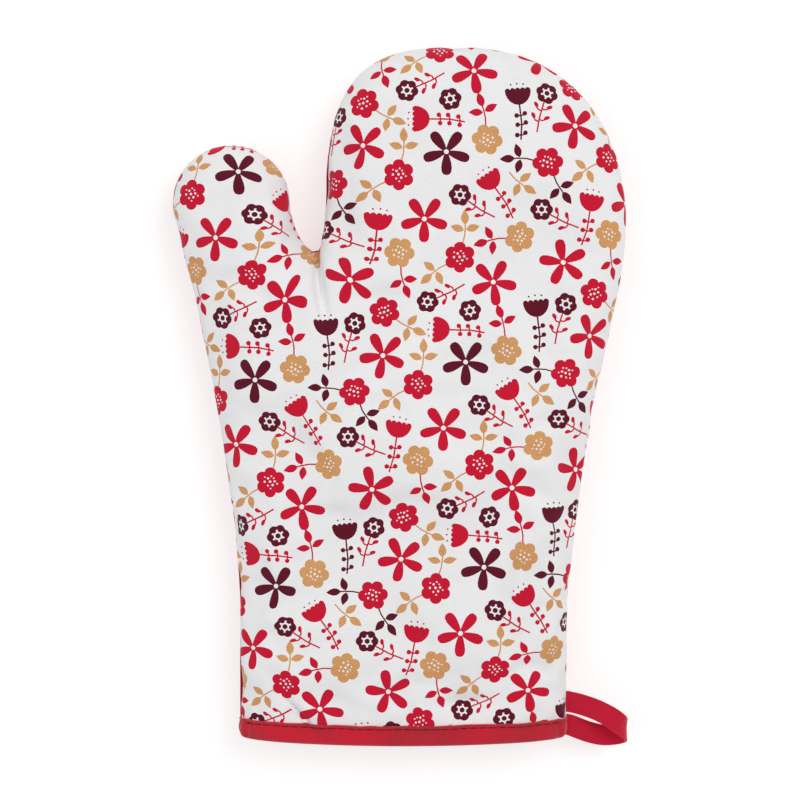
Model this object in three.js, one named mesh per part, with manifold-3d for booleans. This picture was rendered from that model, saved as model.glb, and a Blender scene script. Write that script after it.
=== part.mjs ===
// An oven mitt that lies flat on its back: a printed front panel and a plain back panel, each with
// wadding and a cotton lining, bound at the cuff with tape, with a tape loop sewn into one side seam.
// Millimetres. X runs across the cuff, Y from the hem to the fingertips, Z up through the thickness.
import * as THREE from 'three';
import { mergeVertices } from 'three/addons/utils/BufferGeometryUtils.js';
import Module from 'manifold-3d';

// Outline of the sewn mitt, from the hem.
const CUFF_WIDTH = 140;
const CUFF_STRAIGHT = 38;
const PALM_LENGTH = 210;
const FINGER_LENGTH = 88;
const FINGER_WIDTH = 129;
const FINGER_SHIFT = 31.5;
const FINGER_CURVE_RIGHT = 74;
const FINGER_CURVE_LEFT = 62;
const FINGER_CROWN = 23.5;
const CROTCH_SHIFT = -39.5;
const CROTCH_RADIUS = 4.2;
const THUMB_RADIUS = 24.5;
const THUMB_SHIFT = -74.3;
const THUMB_LENGTH = 46.5;
const THUMB_TAPER = 0.255;

// How softly the outline's curves leave their end points, as shares of the sizes above.
const PALM_FLARE = 0.62;
const FINGER_FLARE = 0.19;
const CROWN_EASE = 0.39;
const CROWN_EASE_LEFT = 0.6;
const FINGER_EASE_LEFT = 0.07;
const THUMB_EASE = 55;
const WRIST_EASE = 0.46;

// Thickness, and the layers of one panel from the outside in.
const THICKNESS = 36;
const SEAM_BAND = 3;
const EDGE_ROUND = 15;
const SHELL = 0.8;
const WADDING = 3.5;
const LINING = 0.6;
const LAYER_GAP = 0.3;
const PIECE_GAP = 0.3;
const WADDING_TRIM = 1.6;

// Cuff binding, its topstitch, the side-seam thread and the hanging loop.
const BINDING_DEPTH = 9;
const BINDING_CLOTH = 1.2;
const STITCH_INSET = 1.5;
const STITCH_WIDTH = 0.8;
const STITCH_DEPTH = 0.4;
const THREAD = 0.8;
const TAPE_WIDTH = 9;
const TAPE_CLOTH = 1.4;
const LOOP_REACH = 26.3;
const LOOP_HEIGHT = 9;
const LOOP_PARTING = 9.8;
const LOOP_DROOP = 7;
const LOOP_ABOVE_HEM = 14;
const LEG_START = 0.26;
const LEG_SPREAD = 1.6;
const LEG_SHARES = [0, 0.15, 0.3, 0.45];

// Fold lines: how far the finger fold and the thumb fold lie beyond the crotch.
const FINGER_FOLD = 12;
const THUMB_FOLD = 10;
const THUMB_FOLD_ANGLE = THREE.MathUtils.degToRad(57.8);

const COTTON_WHITE = 0xece9ea;
const COTTON_RED = 0xb4152f;
const TAPE_RED = 0xc41632;
const WADDING_CREAM = 0xeee8da;
const LINING_WHITE = 0xf2f0ec;
const THREAD_RED = 0xa01028;

// How deep each layer starts inside the outer surface.
const WADDING_IN = SHELL + LAYER_GAP;
const LINING_IN = WADDING_IN + WADDING + LAYER_GAP;
const CAVITY_IN = LINING_IN + LINING;
const BINDING_INNER = CAVITY_IN + PIECE_GAP;
const HEM_TOP = BINDING_CLOTH + PIECE_GAP;
const MID_Z = THICKNESS / 2;
const SLIT_X = CROTCH_SHIFT - CROTCH_RADIUS * 0.7;
const FOLD_Y = PALM_LENGTH + FINGER_FOLD;
const SEAM_X = CUFF_WIDTH / 2;
const CROTCH_REACH = 15;
const LOOP_CLEAR = BINDING_CLOTH + PIECE_GAP * 2 + TAPE_CLOTH;
const BIG = 1000;

const wasm = await Module();
wasm.setup();

function toSolid(geometry) {
  const bare = geometry.clone();
  bare.deleteAttribute('normal');
  bare.deleteAttribute('uv');
  const merged = mergeVertices(bare, 1e-4);
  return new wasm.Manifold(new wasm.Mesh({
    numProp: 3,
    vertProperties: new Float32Array(merged.attributes.position.array),
    triVerts: new Uint32Array(merged.index.array),
  }));
}

function toGeometry(solid) {
  const mesh = solid.getMesh();
  const geometry = new THREE.BufferGeometry();
  geometry.setAttribute('position', new THREE.BufferAttribute(mesh.vertProperties, 3));
  geometry.setIndex(new THREE.BufferAttribute(mesh.triVerts, 1));
  geometry.computeVertexNormals();
  return geometry;
}

// A box given by its lowest and highest corners.
function block(low, high) {
  const size = high.map((value, axis) => value - low[axis]);
  const geometry = new THREE.BoxGeometry(...size);
  geometry.translate(...low.map((value, axis) => value + size[axis] / 2));
  return toSolid(geometry);
}

function arcPoints(centre, radius, from, to, clockwise, steps) {
  const arc = new THREE.EllipseCurve(centre.x, centre.y, radius, radius, from, to, clockwise);
  return arc.getPoints(steps);
}

function bezierPoints(a, b, c, d, steps) {
  return new THREE.CubicBezierCurve(a, b, c, d).getPoints(steps);
}

// The sewn outline seen from above, counter-clockwise from the hem's right corner. The cuff runs on
// past the hem so that a straight cut leaves it open.
function mittOutline() {
  const at = (x, y) => new THREE.Vector2(x, y);
  const fingerRight = FINGER_SHIFT + FINGER_WIDTH / 2;
  const fingerLeft = FINGER_SHIFT - FINGER_WIDTH / 2;
  const tip = PALM_LENGTH + FINGER_LENGTH;
  const bulge = tip - FINGER_CURVE_RIGHT;
  const crown = at(FINGER_CROWN, tip);
  const handle = FINGER_WIDTH * CROWN_EASE;
  const thumbCentre = at(THUMB_SHIFT, PALM_LENGTH + THUMB_LENGTH - THUMB_RADIUS);
  const crotch = at(CROTCH_SHIFT, PALM_LENGTH + CROTCH_RADIUS);
  const slant = Math.atan2(crotch.x - thumbCentre.x, thumbCentre.y - crotch.y);
  const reach = Math.asin((THUMB_RADIUS + CROTCH_RADIUS) / thumbCentre.distanceTo(crotch));
  const lean = slant - reach;
  const thumbLeft = at(
    thumbCentre.x - THUMB_RADIUS * Math.cos(THUMB_TAPER),
    thumbCentre.y - THUMB_RADIUS * Math.sin(THUMB_TAPER),
  );
  const points = [
    at(SEAM_X, -BINDING_DEPTH * 3),
    ...bezierPoints(at(SEAM_X, CUFF_STRAIGHT), at(SEAM_X, PALM_LENGTH * PALM_FLARE),
      at(fingerRight, bulge - PALM_LENGTH * FINGER_FLARE), at(fingerRight, bulge), 8),
    ...bezierPoints(at(fingerRight, bulge), at(fingerRight, bulge + FINGER_CURVE_RIGHT * 0.5),
      at(crown.x + handle, tip), crown, 9).slice(1),
    ...bezierPoints(crown, at(crown.x - handle * CROWN_EASE_LEFT, tip),
      at(fingerLeft, tip - FINGER_CURVE_LEFT * FINGER_EASE_LEFT),
      at(fingerLeft, tip - FINGER_CURVE_LEFT), 8).slice(1),
    ...arcPoints(crotch, CROTCH_RADIUS, 0, Math.PI + lean, true, 5),
    ...arcPoints(thumbCentre, THUMB_RADIUS, lean, Math.PI + THUMB_TAPER, false, 10),
    ...bezierPoints(thumbLeft, at(thumbLeft.x + THUMB_EASE * Math.sin(THUMB_TAPER),
      thumbLeft.y - THUMB_EASE * Math.cos(THUMB_TAPER)), at(-SEAM_X, PALM_LENGTH * WRIST_EASE),
      at(-SEAM_X, CUFF_STRAIGHT), 8).slice(1),
    at(-SEAM_X, -BINDING_DEPTH * 3),
  ];
  return new THREE.Shape(points);
}

const OUTLINE = mittOutline();

// The whole puffed mitt, taken in by the given depth all round. A negative depth stands outside it.
function pillow(depth) {
  const round = EDGE_ROUND - depth;
  const geometry = new THREE.ExtrudeGeometry(OUTLINE, {
    depth: SEAM_BAND,
    steps: 1,
    bevelEnabled: true,
    bevelThickness: MID_Z - SEAM_BAND / 2 - depth,
    bevelSize: round,
    bevelOffset: -EDGE_ROUND,
    bevelSegments: 3,
  });
  geometry.translate(0, 0, MID_Z - SEAM_BAND / 2);
  return toSolid(geometry);
}

function skin(outer, inner) {
  return pillow(outer).subtract(pillow(inner));
}

// Half space boxes, and the regions that the two folds cut the mitt into.
const frontHalf = (gap) => block([-BIG, -BIG, MID_Z + gap / 2], [BIG, BIG, BIG]);
const backHalf = (gap) => block([-BIG, -BIG, -BIG], [BIG, BIG, MID_Z - gap / 2]);
const band = (low, high) => block([-BIG, low, -BIG], [BIG, high, BIG]);
const fingerSide = (gap) => block([SLIT_X, FOLD_Y + gap / 2, -BIG], [BIG, BIG, BIG]);

function thumbSide(gap) {
  const geometry = new THREE.BoxGeometry(BIG, BIG, BIG);
  geometry.translate(BIG / 2 + THUMB_FOLD + gap / 2, 0, 0);
  geometry.rotateZ(Math.PI / 2 + THUMB_FOLD_ANGLE);
  geometry.translate(CROTCH_SHIFT, PALM_LENGTH, 0);
  return toSolid(geometry).intersect(block([-BIG, -BIG, -BIG], [SLIT_X, BIG, BIG]));
}

const REGIONS = {
  palm: (solid) => solid.subtract(fingerSide(-PIECE_GAP)).subtract(thumbSide(-PIECE_GAP)),
  fingers: (solid) => solid.intersect(fingerSide(PIECE_GAP)),
  thumb: (solid) => solid.intersect(thumbSide(PIECE_GAP)),
};

const model = new THREE.Group();

function addPiece(name, shape, color, roughness) {
  const geometry = shape.isBufferGeometry ? shape : toGeometry(shape);
  const material = new THREE.MeshStandardMaterial({ color, roughness, metalness: 0 });
  const mesh = new THREE.Mesh(geometry, material);
  mesh.name = name;
  model.add(mesh);
  return mesh;
}

// Shell, wadding and lining: each is a front and a back panel, cut at the fold lines.
function addLayers() {
  const layers = [
    { name: 'shell', outer: 0, inner: SHELL, gap: PIECE_GAP, front: COTTON_WHITE, back: COTTON_RED },
    { name: 'wadding', outer: WADDING_IN, inner: WADDING_IN + WADDING, gap: WADDING_TRIM,
      front: WADDING_CREAM, back: WADDING_CREAM },
    { name: 'lining', outer: LINING_IN, inner: CAVITY_IN, gap: PIECE_GAP, front: LINING_WHITE,
      back: LINING_WHITE },
  ];
  for (const layer of layers) {
    const whole = skin(layer.outer, layer.inner).intersect(band(HEM_TOP, BIG));
    const panels = { front: frontHalf(layer.gap), back: backHalf(layer.gap) };
    for (const [side, half] of Object.entries(panels)) {
      for (const [region, cut] of Object.entries(REGIONS)) {
        addPiece(`${layer.name}_${side}_${region}`, cut(whole.intersect(half)), layer[side], 0.9);
      }
    }
  }
}

// The binding folds over the hem: outside strip, bottom wrap and inside strip in one piece a panel.
// A thread lies in a shallow groove along its outer face.
function addBinding() {
  const outside = -BINDING_CLOTH - PIECE_GAP;
  const tape = skin(outside, BINDING_INNER + BINDING_CLOTH).intersect(band(0, BINDING_DEPTH));
  const hem = skin(-PIECE_GAP, BINDING_INNER).intersect(band(BINDING_CLOTH, BIG));
  const stitchLow = BINDING_DEPTH - STITCH_INSET - STITCH_WIDTH;
  const stitchHigh = BINDING_DEPTH - STITCH_INSET;
  const groove = skin(outside - 1, outside + STITCH_DEPTH + PIECE_GAP)
    .intersect(band(stitchLow - PIECE_GAP, stitchHigh + PIECE_GAP));
  const thread = skin(outside, outside + STITCH_DEPTH).intersect(band(stitchLow, stitchHigh));
  const bound = tape.subtract(hem).subtract(groove);
  const halves = { front: frontHalf(PIECE_GAP), back: backHalf(PIECE_GAP) };
  for (const [side, half] of Object.entries(halves)) {
    addPiece(`binding_${side}`, bound.intersect(half), TAPE_RED, 0.85);
    addPiece(`binding_stitch_${side}`, thread.intersect(half), THREAD_RED, 0.7);
  }
}

// The side-seam thread runs in the channel where the wadding is trimmed back from the seam.
function addSeamThread() {
  const start = (WADDING_IN + WADDING_IN + WADDING - THREAD) / 2;
  const slab = block([-BIG, BINDING_DEPTH + PIECE_GAP, MID_Z - THREAD / 2], [BIG, BIG, MID_Z + THREAD / 2]);
  const line = skin(start, start + THREAD).intersect(slab);
  const palm = REGIONS.palm(line);
  const crotchLow = PALM_LENGTH - EDGE_ROUND * 2;
  const aroundCrotch = block([CROTCH_SHIFT - CROTCH_REACH, crotchLow, -BIG],
    [CROTCH_SHIFT + CROTCH_REACH, BIG, BIG]);
  const rightOf = block([CROTCH_SHIFT + CROTCH_REACH, -BIG, -BIG], [BIG, BIG, BIG]);
  addPiece('seam_thread_crotch', palm.intersect(aroundCrotch), THREAD_RED, 0.7);
  addPiece('seam_thread_right', palm.intersect(rightOf), THREAD_RED, 0.7);
  addPiece('seam_thread_left', palm.subtract(aroundCrotch).subtract(rightOf), THREAD_RED, 0.7);
  addPiece('seam_thread_fingers', REGIONS.fingers(line), THREAD_RED, 0.7);
  addPiece('seam_thread_thumb', REGIONS.thumb(line), THREAD_RED, 0.7);
}

// The loop is one flat tape in a hairpin: out from the seam, round a bend and back underneath.
function loopSide(offset) {
  const bend = LOOP_HEIGHT / 2;
  const leg = LEG_SHARES.map((share) => new THREE.Vector2(
    LOOP_REACH * share,
    bend * (LEG_START + (1 - LEG_START) * share * LEG_SPREAD) + offset,
  ));
  const end = LOOP_REACH - LOOP_CLEAR - bend;
  return [...leg, ...arcPoints(new THREE.Vector2(end, 0), bend + offset, Math.PI / 2, 0, true, 5)];
}

// The two legs lie beside each other along the seam, and the free end droops towards the hem.
function layLoop(geometry) {
  const position = geometry.attributes.position;
  const legHeight = LOOP_HEIGHT / 2 * LEG_START - TAPE_CLOTH / 2;
  for (let i = 0; i < position.count; i += 1) {
    const side = THREE.MathUtils.clamp(position.getZ(i) / legHeight, -1, 1);
    const sag = LOOP_DROOP * (position.getX(i) / LOOP_REACH) ** 2;
    position.setY(i, position.getY(i) + side * LOOP_PARTING / 2 - sag);
  }
}

function addLoop() {
  const outer = loopSide(TAPE_CLOTH / 2);
  const inner = loopSide(-TAPE_CLOTH / 2);
  const below = (points) => points.map((point) => new THREE.Vector2(point.x, -point.y));
  const ribbon = new THREE.Shape([
    ...outer, ...below(outer).reverse().slice(1), ...below(inner), ...inner.reverse().slice(1),
  ]);
  const geometry = new THREE.ExtrudeGeometry(ribbon, { depth: TAPE_WIDTH, bevelEnabled: false });
  geometry.rotateX(Math.PI / 2);
  geometry.translate(0, TAPE_WIDTH / 2, 0);
  layLoop(geometry);
  const mesh = addPiece('hanging_loop', geometry, TAPE_RED, 0.85);
  mesh.position.set(SEAM_X + LOOP_CLEAR, LOOP_ABOVE_HEM, MID_Z);
}

addLayers();
addBinding();
addSeamThread();
addLoop();

// The origin is the middle of the resting face, so the whole group shifts by its own box.
model.updateMatrixWorld(true);
const box = new THREE.Box3().setFromObject(model, true);
const centre = box.getCenter(new THREE.Vector3());
model.position.set(-centre.x, -centre.y, -box.min.z);
model.updateMatrixWorld(true);

export default model;
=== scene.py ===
"""An oven mitt lying on its back: floral twill front, plain red back, bound cuff and a tape loop.

Lengths are millimetres in the mitt's own frame (x from the middle of the cuff, y from the hem,
z from the shell's lowest face) until a mesh is made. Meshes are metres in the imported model's frame.
The cloth is described on its flat cut: a flat point (u, v) has a place on the sewn, filled mitt.
"""
import math
import random

import bmesh
import bpy
import numpy as np
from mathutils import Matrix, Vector
from mathutils.geometry import delaunay_2d_cdt


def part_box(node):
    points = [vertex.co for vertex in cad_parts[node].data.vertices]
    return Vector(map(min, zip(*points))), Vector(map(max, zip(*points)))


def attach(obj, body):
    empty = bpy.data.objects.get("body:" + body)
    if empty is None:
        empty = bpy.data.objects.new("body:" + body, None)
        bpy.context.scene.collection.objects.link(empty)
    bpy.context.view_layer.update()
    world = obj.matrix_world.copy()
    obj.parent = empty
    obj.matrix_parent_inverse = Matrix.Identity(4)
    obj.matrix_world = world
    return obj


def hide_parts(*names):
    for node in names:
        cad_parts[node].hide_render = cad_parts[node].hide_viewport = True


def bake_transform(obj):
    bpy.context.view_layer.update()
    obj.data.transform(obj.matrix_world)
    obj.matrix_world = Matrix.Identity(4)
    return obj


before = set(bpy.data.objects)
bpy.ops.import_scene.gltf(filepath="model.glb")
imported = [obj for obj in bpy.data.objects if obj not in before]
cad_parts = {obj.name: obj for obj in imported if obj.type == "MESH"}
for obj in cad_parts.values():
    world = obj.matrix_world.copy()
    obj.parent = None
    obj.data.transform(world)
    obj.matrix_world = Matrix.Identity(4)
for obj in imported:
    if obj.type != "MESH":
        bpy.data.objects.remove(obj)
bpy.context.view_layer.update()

# ---- the mitt's place in the frame
BINDING_LOW, BINDING_HIGH = (np.array(corner) * 1000 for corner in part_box("binding_back"))
SHELL_LOW, _ = (np.array(corner) * 1000 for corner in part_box("shell_back_palm"))
ORIGIN = np.array([(BINDING_LOW[0] + BINDING_HIGH[0]) / 2, BINDING_LOW[1], SHELL_LOW[2]])
FLOOR_Z = -ORIGIN[2]

# ---- sizes of the sewn outline
CUFF_WIDTH = 140
CUFF_STRAIGHT = 38
PALM_LENGTH = 210
FINGER_LENGTH = 88.9
FINGER_WIDTH = 127.4
FINGER_SHIFT = 30.8
FINGER_CURVE_RIGHT = 74
FINGER_CURVE_LEFT = 62
FINGER_CROWN = 23.5
CROTCH = (-37.9, 213.4)
CROTCH_RADIUS = 2.0
THUMB_RADIUS = 24.5
THUMB_CENTRE = (-74.3, 232.8)
THUMB_TAPER = 0.265
THUMB_START = 0.2
TAIL = 27
OUTLINE_STEP = 1.2

# Curve handles: shares of the lengths above, then millimetres.
PALM_FLARE = 0.62
FINGER_FLARE = 0.19
CROWN_EASE = 0.39
CROWN_EASE_LEFT = 0.6
FINGER_EASE_LEFT = 0.07
WRIST_EASE = 0.46
WRIST_EASE_IN = 2.6
THUMB_EASE = 55
CROTCH_EASE = 224
CROTCH_FROM_FINGERS = ((-34.4, 219), (-36.1, 212.6))
CROTCH_TURN = (-0.4, -2.5)
CROTCH_TO_THUMB = ((-39.5, 212.2), (-47, 219.5), (-48.2, 228.5))

# ---- sizes of cloth and filling
MID_Z = 18.0
SEAM_HALF = 0.2
ROUND = 24.0
ROUND_HEIGHT = 15.5
ROUND_POWER = 2.1
TURN_DOWN = 7.5
TURN_DOWN_AT_CROTCH = 0.9
TURN_DOWN_FROM, TURN_DOWN_OVER = 8, 34
SHELL = (0.0, 0.8)
WADDING = (1.1, 4.6)
LINING = (4.9, 5.5)
HEM = 1.5
WADDING_TRIM = 1.6
WADDING_TRIM_AT_CROTCH = 7.5
TRIM_REACH = 12
HEM_RISE = {"front": 1.2, "back": 0.3}
HEM_BOW = 2.9
HEM_REACH = 34
CORNER = 10.0
CORNER_CUT = 3.2
LEFT_INSET = 1.0
LEFT_INSET_FADE = 1.5
BINDING_DEPTH = 9.0
FOLD_DIRECTION = np.array([-0.5329, -0.8462])
ACROSS_FOLD = np.array([FOLD_DIRECTION[1], -FOLD_DIRECTION[0]])
SEAM_X = CUFF_WIDTH / 2


def smooth(t):
    t = np.clip(t, 0, 1)
    return t * t * (3 - 2 * t)


def bell(x, y, centre, spread):
    return np.exp(-((x - centre[0]) / spread[0]) ** 2 - ((y - centre[1]) / spread[1]) ** 2)


# ---- outline
def bezier(a, b, c, d, steps):
    t = np.linspace(0, 1, steps + 1)[:, None]
    a, b, c, d = (np.array(p, float) for p in (a, b, c, d))
    return (1 - t) ** 3 * a + 3 * (1 - t) ** 2 * t * b + 3 * (1 - t) * t * t * c + t**3 * d


def arc(centre, radius, start, end, steps):
    t = np.linspace(start, end, steps + 1)
    return np.column_stack([centre[0] + radius * np.cos(t), centre[1] + radius * np.sin(t)])


def resample(points, step):
    """The same line with points an equal distance apart."""
    points = np.asarray(points, float)
    keep = np.r_[True, np.hypot(*np.diff(points, axis=0).T) > 1e-6]
    points = points[keep]
    along = np.r_[0, np.cumsum(np.hypot(*np.diff(points, axis=0).T))]
    places = np.linspace(0, along[-1], max(2, round(along[-1] / step)) + 1)
    return np.column_stack([np.interp(places, along, points[:, i]) for i in range(2)])


def sewn_outline():
    """The seam line, counter-clockwise from below the hem's right corner, run on past the hem."""
    right = FINGER_SHIFT + FINGER_WIDTH / 2
    left = FINGER_SHIFT - FINGER_WIDTH / 2
    tip = PALM_LENGTH + FINGER_LENGTH
    bulge = tip - FINGER_CURVE_RIGHT
    handle = FINGER_WIDTH * CROWN_EASE
    thumb = arc(THUMB_CENTRE, THUMB_RADIUS, THUMB_START, math.pi + THUMB_TAPER, 60)
    down = thumb[-1] + THUMB_EASE * np.array([math.sin(THUMB_TAPER), -math.cos(THUMB_TAPER)])
    return resample(np.vstack([
        [(SEAM_X, -TAIL)],
        bezier((SEAM_X, CUFF_STRAIGHT), (SEAM_X, PALM_LENGTH * PALM_FLARE),
               (right, bulge - PALM_LENGTH * FINGER_FLARE), (right, bulge), 60),
        bezier((right, bulge), (right, bulge + FINGER_CURVE_RIGHT / 2),
               (FINGER_CROWN + handle, tip), (FINGER_CROWN, tip), 60),
        bezier((FINGER_CROWN, tip), (FINGER_CROWN - handle * CROWN_EASE_LEFT, tip),
               (left, tip - FINGER_CURVE_LEFT * FINGER_EASE_LEFT),
               (left, tip - FINGER_CURVE_LEFT), 60),
        bezier((left, tip - FINGER_CURVE_LEFT), (left, CROTCH_EASE), *CROTCH_FROM_FINGERS, 30),
        arc(CROTCH, CROTCH_RADIUS, *CROTCH_TURN, 10),
        bezier(*CROTCH_TO_THUMB, thumb[0], 30),
        thumb,
        bezier(thumb[-1], down, (-SEAM_X + WRIST_EASE_IN, PALM_LENGTH * WRIST_EASE),
               (-SEAM_X, CUFF_STRAIGHT), 60),
        [(-SEAM_X, -TAIL)],
    ]), OUTLINE_STEP)


def outward(line):
    along = np.gradient(line, axis=0)
    along /= np.linalg.norm(along, axis=1)[:, None]
    return np.column_stack([along[:, 1], -along[:, 0]])


SEWN = sewn_outline()
SEWN_OUT = outward(SEWN)
FROM_CROTCH = np.hypot(*(SEWN - CROTCH).T)
TURNED = (TURN_DOWN_AT_CROTCH + (TURN_DOWN - TURN_DOWN_AT_CROTCH)
          * smooth((FROM_CROTCH - TURN_DOWN_FROM) / TURN_DOWN_OVER))
CUT = SEWN + SEWN_OUT * TURNED[:, None]
CUT_OUT = outward(CUT)
BATCH = 2000
EDGE_FROM, EDGE_OVER = 0.4, 1.5


def nearest_on_cut(flat):
    """For flat points: depth inside the cut, the direction out to its edge, the cloth tucked in."""
    depth, out, tuck = np.empty(len(flat)), np.empty((len(flat), 2)), np.empty(len(flat))
    a, ab = CUT[:-1], np.diff(CUT, axis=0)
    length = (ab**2).sum(1)
    for start in range(0, len(flat), BATCH):
        q = flat[start:start + BATCH]
        t = np.clip(((q[:, None] - a) * ab).sum(2) / length, 0, 1)
        away = a + t[..., None] * ab - q[:, None]
        which = (away**2).sum(2).argmin(1)
        rows = np.arange(len(q))
        share = t[rows, which][:, None]
        away = away[rows, which]
        normal = CUT_OUT[which] * (1 - share) + CUT_OUT[which + 1] * share
        normal /= np.linalg.norm(normal, axis=1)[:, None]
        inside = (away * normal).sum(1)
        far = np.linalg.norm(away, axis=1)
        straight = away / np.maximum(far, 1e-9)[:, None]
        near = smooth((inside - EDGE_FROM) / EDGE_OVER)[:, None]
        direction = straight * near + normal * (1 - near)
        part = slice(start, start + len(q))
        depth[part] = np.where(inside > 0, far, -far)
        out[part] = direction / np.linalg.norm(direction, axis=1)[:, None]
        tuck[part] = TURNED[which] * (1 - share[:, 0]) + TURNED[which + 1] * share[:, 0]
    return depth, out, tuck


# ---- the filled shape
THETA = np.linspace(0, math.pi / 2, 400)
PROFILE_IN = ROUND * (1 - np.cos(THETA) ** (2 / ROUND_POWER))
PROFILE_UP = np.sin(THETA) ** (2 / ROUND_POWER)
PROFILE_ARC = np.r_[0, np.cumsum(np.hypot(np.diff(PROFILE_IN), np.diff(PROFILE_UP) * ROUND_HEIGHT))]


# Height of the filled mitt, how much lower it is at the cuff, and how far up that reaches.
FRONT_HEIGHT, FRONT_DIP, FRONT_DIP_REACH = 15, 3.2, 45
BACK_HEIGHT, BACK_DIP, BACK_DIP_REACH = 18.7, 1.9, 16
# Broad swellings of the front at the palm, the fingers and (a hollow) the thumb.
FRONT_SWELLS = [(2.6, (8, 135), (55, 80)), (1.3, (32, 245), (45, 40)), (-1.0, (-75, 225), (30, 50))]
# Along the left edge, where a line of the back shows: from, fading in over, to, fading out over.
BACK_SHOWS = [(8, 5, 92, 22), (228, 10, 268, 12)]


def front_height(x, y):
    height = FRONT_HEIGHT - FRONT_DIP * np.exp(-(np.maximum(y, 0) / FRONT_DIP_REACH) ** 2)
    for amount, centre, spread in FRONT_SWELLS:
        height = height + amount * bell(x, y, centre, spread)
    return height


def back_height(y):
    return BACK_HEIGHT - BACK_DIP * np.exp(-(np.maximum(y, 0) / BACK_DIP_REACH) ** 2)


def shy_of_back(x, y):
    """Where the front's edge stops short, so that a line of the red back shows beside it."""
    return (x < 0) * sum(smooth((y - start) / rise) * smooth((end - y) / fall)
                         for start, rise, end, fall in BACK_SHOWS)


# Soft folds and puckers: from, to, half width, depth. A negative depth stands up.
FRONT_FOLDS = [
    ((-37.6, 217), (-32, 176), 2.1, 5.4),
    ((-31.5, 210), (-25, 192), 4.0, -1.2),
    ((-43.5, 209), (-41, 184), 3.2, -1.2),
    ((-51, 20), (-36, 4), 1.1, 2.6),
    ((-45.5, 21), (-32.5, 7), 2.2, -0.9),
    ((50, 137), (74, 141), 3.2, 0.7),
    ((46, 121), (72, 118), 3.4, -0.7),
    ((44, 109), (71, 107), 3.0, 0.7),
    ((50, 94), (70, 97), 3.0, 0.5),
    ((10, 17), (46, 19), 3.0, 0.8),
    ((14, 24), (52, 25), 3.4, -0.5),
    ((-24, 15), (-4, 16), 2.6, 0.5),
    ((-80, 196), (-64, 205), 3.4, 0.6),
    ((-68, 214), (-52, 219), 3.0, -0.4),
    ((66, 205), (90, 214), 4.0, 0.6),
    ((60, 196), (84, 199), 4.0, -0.5),
    ((-30, 206), (2, 214), 4.5, 0.9),
    ((-26, 198), (8, 203), 5.0, -0.7),
    ((-28, 158), (-4, 168), 3.6, 0.8),
    ((-22, 149), (2, 160), 4.0, -0.6),
    ((-58, 62), (-32, 66), 4.2, 0.7),
    ((-62, 52), (-38, 54), 4.2, -0.6),
    ((-20, 25), (6, 20), 3.6, 0.8),
    ((52, 60), (68, 63), 3.4, 0.6),
    ((44, 34), (66, 30), 3.6, 0.7),
    ((-14, 262), (6, 280), 5.0, 0.7),
]
BACK_FOLDS = [
    ((-38, 213), (-35, 176), 3.2, 2.0),
    ((-49, 22), (-36, 9), 2.4, 1.0),
    ((20, 16), (48, 19), 3.0, 0.8),
]
FOLDS = {"front": FRONT_FOLDS, "back": BACK_FOLDS}
HEM_WAVE, HEM_WAVE_FAST, HEM_WAVE_SLOW = 0.45, 0.62, 0.17
HEM_WAVE_ABOVE, HEM_WAVE_REACH = 3, 3.5
GRID = 1.5
SHARP_FOLD = 0.7
FOLD_REACH = 8.0
LEAST_FOLD = 0.01
GRID_U = np.arange(-117, 117, GRID)
GRID_V = np.arange(-21, 318, GRID)


def hem_pucker(flat):
    """Slight waves that the topstitch pulls into the cloth just above the binding."""
    u, v = flat.T
    wave = HEM_WAVE * np.sin(HEM_WAVE_FAST * u) * np.sin(HEM_WAVE_SLOW * u + 1)
    return wave * np.exp(-((v - BINDING_DEPTH - HEM_WAVE_ABOVE) / HEM_WAVE_REACH) ** 2)


def folded(flat, folds, wider=0.0):
    """How far the cloth is pressed in at flat points. Folds may be taken wider than they are."""
    total = hem_pucker(flat)
    for start, end, width, depth in folds:
        start, along = np.array(start, float), np.subtract(end, start)
        t = ((flat - start) @ along) / (along @ along)
        near = start + np.clip(t, 0, 1)[:, None] * along
        across = np.hypot(*(flat - near).T) / (width + wider)
        ends = smooth(0.15 + 1.6 * np.clip(t, 0, 1)) * smooth(1.5 - 1.4 * np.clip(t, 0, 1))
        total += depth * np.exp(-across**2) * ends
    return total


def fill(side):
    """Places of a regular grid of flat points on the filled mitt, before its folds."""
    u, v = np.meshgrid(GRID_U, GRID_V)
    flat = np.column_stack([u.ravel(), v.ravel()])
    depth, out, tuck = nearest_on_cut(flat)
    band = ROUND + tuck
    arc_at = depth * PROFILE_ARC[-1] / band
    inwards = np.interp(arc_at, PROFILE_ARC, PROFILE_IN) + np.maximum(depth - band, 0)
    up = np.where(arc_at > 0, np.interp(arc_at, PROFILE_ARC, PROFILE_UP), arc_at / ROUND_HEIGHT)
    place = flat + out * (depth - tuck - inwards)[:, None]
    x, y = place.T
    if side == "front":
        z = MID_Z + SEAM_HALF + up * front_height(x, y)
    else:
        z = MID_Z - SEAM_HALF - up * back_height(y)
    hem = HEM_RISE[side] + HEM_BOW * np.clip(np.abs(x) / SEAM_X, 0, 1) ** 2
    y = y + hem * np.exp(-(np.maximum(y, 0) / HEM_REACH) ** 2)
    y = y + CORNER_CUT * smooth(1 - depth / CORNER) * smooth(1 - flat[:, 1] / CORNER)
    if side == "front":
        x = x + LEFT_INSET * shy_of_back(x, y) * (1 - smooth(up * LEFT_INSET_FADE))
    return np.stack([x, y, z], 1).reshape(len(GRID_V), len(GRID_U), 3)


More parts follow.
